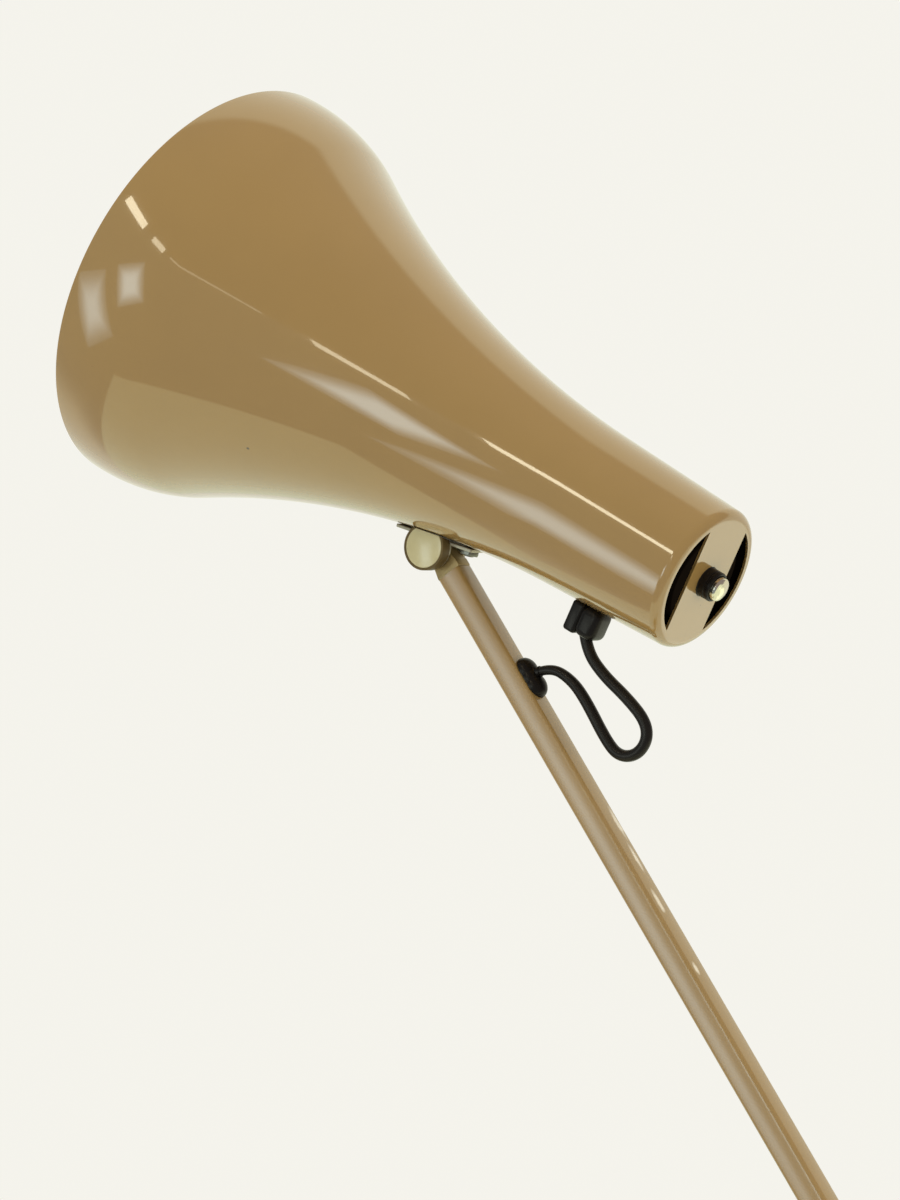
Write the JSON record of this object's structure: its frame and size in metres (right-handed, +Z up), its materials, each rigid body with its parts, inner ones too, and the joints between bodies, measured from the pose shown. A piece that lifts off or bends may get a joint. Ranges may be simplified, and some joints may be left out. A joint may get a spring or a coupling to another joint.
{
  "type": "architect lamp",
  "caption": "Sprung, balanced desk lamp: weighted round base, square-tube arms joined by a parallel link, and a trumpet-shaped shade on a friction hinge with a push switch.",
  "frame": {"origin": "centre of the base's underside, on the surface that the lamp stands on", "axes": "+Z up; the arms and the shade's axis lie in the XZ plane, with the shade's mouth towards -X"},
  "size_m": [0.3748, 0.19, 0.8777],
  "materials": {
    "enamel": "glossy stoved enamel",
    "black_plastic": "satin",
    "felt": "matt",
    "iron": "rough",
    "steel": "dull plated",
    "nylon": "satin",
    "spring_steel": "bright",
    "zinc_yellow": "passivated",
    "flex_sheath": "satin",
    "dark_metal": "dark",
    "ivory": "aged gloss",
    "brass": "dull",
    "opal_glass": "opal",
    "chrome": "polished"
  },
  "bodies": {
    "base": {"base_pad": "felt", "base_plate": "steel", "base_weight": "iron", "base_screws": "steel", "base_cover": "enamel", "base_grommet": "black_plastic", "spindle": "steel", "spindle_nut": "steel", "base_collar": "steel", "thrust_washer": "nylon"},
    "stand": {"swivel_block": "steel", "retaining_screw": "steel", "cheek_near": "steel", "cheek_far": "steel", "cheek_screws": "steel", "anchor_pin": "steel", "main_bolt": "steel", "main_nut": "steel", "main_washers": "steel", "lower_spring_near": "spring_steel", "lower_spring_far": "spring_steel"},
    "lower_arm": {"lower_foot": "steel", "lower_tube": "enamel", "elbow_plate_near": "steel", "elbow_plate_far": "steel", "elbow_rivets": "steel", "arm_spring_pin": "steel", "spring_lug": "steel", "elbow_bolt": "steel", "elbow_nut": "steel", "elbow_washers": "steel", "upper_spring": "spring_steel"},
    "crank": {"crank_near": "steel", "crank_far": "steel", "crank_pins": "steel", "crank_spacers": "steel"},
    "upper_arm": {"upper_tube": "enamel", "elbow_fitting": "steel", "tail_pin": "steel", "arm_tongue": "zinc_yellow", "arm_bush": "black_plastic", "flex_loop": "flex_sheath"},
    "tie_rod": {"tie_rod": "steel"},
    "head": {"shade": "enamel", "shade_bush": "black_plastic", "shade_bracket": "steel", "bracket_screws": "steel", "bracket_nuts": "steel", "hinge_bolt": "steel", "hinge_nut": "steel", "hinge_washers": "steel", "hinge_cup": "dark_metal", "hinge_disc": "ivory", "lampholder": "black_plastic", "holder_ring": "black_plastic", "light_baffle": "dark_metal", "bulb_cap": "brass", "bulb_glass": "opal_glass", "switch_collar": "black_plastic"},
    "switch_button": {"switch_button": "chrome"}
  },
  "joints": [
    {"name": "base_swivel", "type": "hinge", "parent": "base", "child": "stand", "pos_m": [0, 0, 0.05], "axis": [0, 0, 1], "range_deg": [-170, 170]},
    {"name": "lower_arm_tilt", "type": "hinge", "parent": "stand", "child": "lower_arm", "pos_m": [0, 0, 0.1], "axis": [0, -1, 0], "range_deg": [-15, 35], "deforming": ["lower_spring_near", "lower_spring_far"]},
    {"name": "elbow_tilt", "type": "hinge", "parent": "lower_arm", "child": "upper_arm", "pos_m": [0.14369, 0, 0.40814], "axis": [0, -1, 0], "range_deg": [-25, 60]},
    {"name": "crank_turn", "type": "hinge", "parent": "lower_arm", "child": "crank", "pos_m": [0, 0, 0.1], "axis": [0, -1, 0], "range_deg": [-25, 60], "deforming": ["upper_spring"]},
    {"name": "tie_rod_swing", "type": "hinge", "parent": "upper_arm", "child": "tie_rod", "pos_m": [0.16195, 0, 0.38187], "axis": [0, -1, 0], "range_deg": [-60, 25]},
    {"name": "head_tilt", "type": "hinge", "parent": "upper_arm", "child": "head", "pos_m": [-0.05601, 0, 0.69558], "axis": [0, -1, 0], "range_deg": [-10, 65], "deforming": ["flex_loop"]},
    {"name": "switch_push", "type": "slide", "parent": "head", "child": "switch_button", "axis": [-0.8887, 0, 0.4585], "range_m": [0, 0.002], "stiffness_N_per_m": 800}
  ],
  "couplings": [
    {"joint": "crank_turn", "follows": "elbow_tilt", "ratio": 1},
    {"joint": "tie_rod_swing", "follows": "elbow_tilt", "ratio": -1}
  ]
}
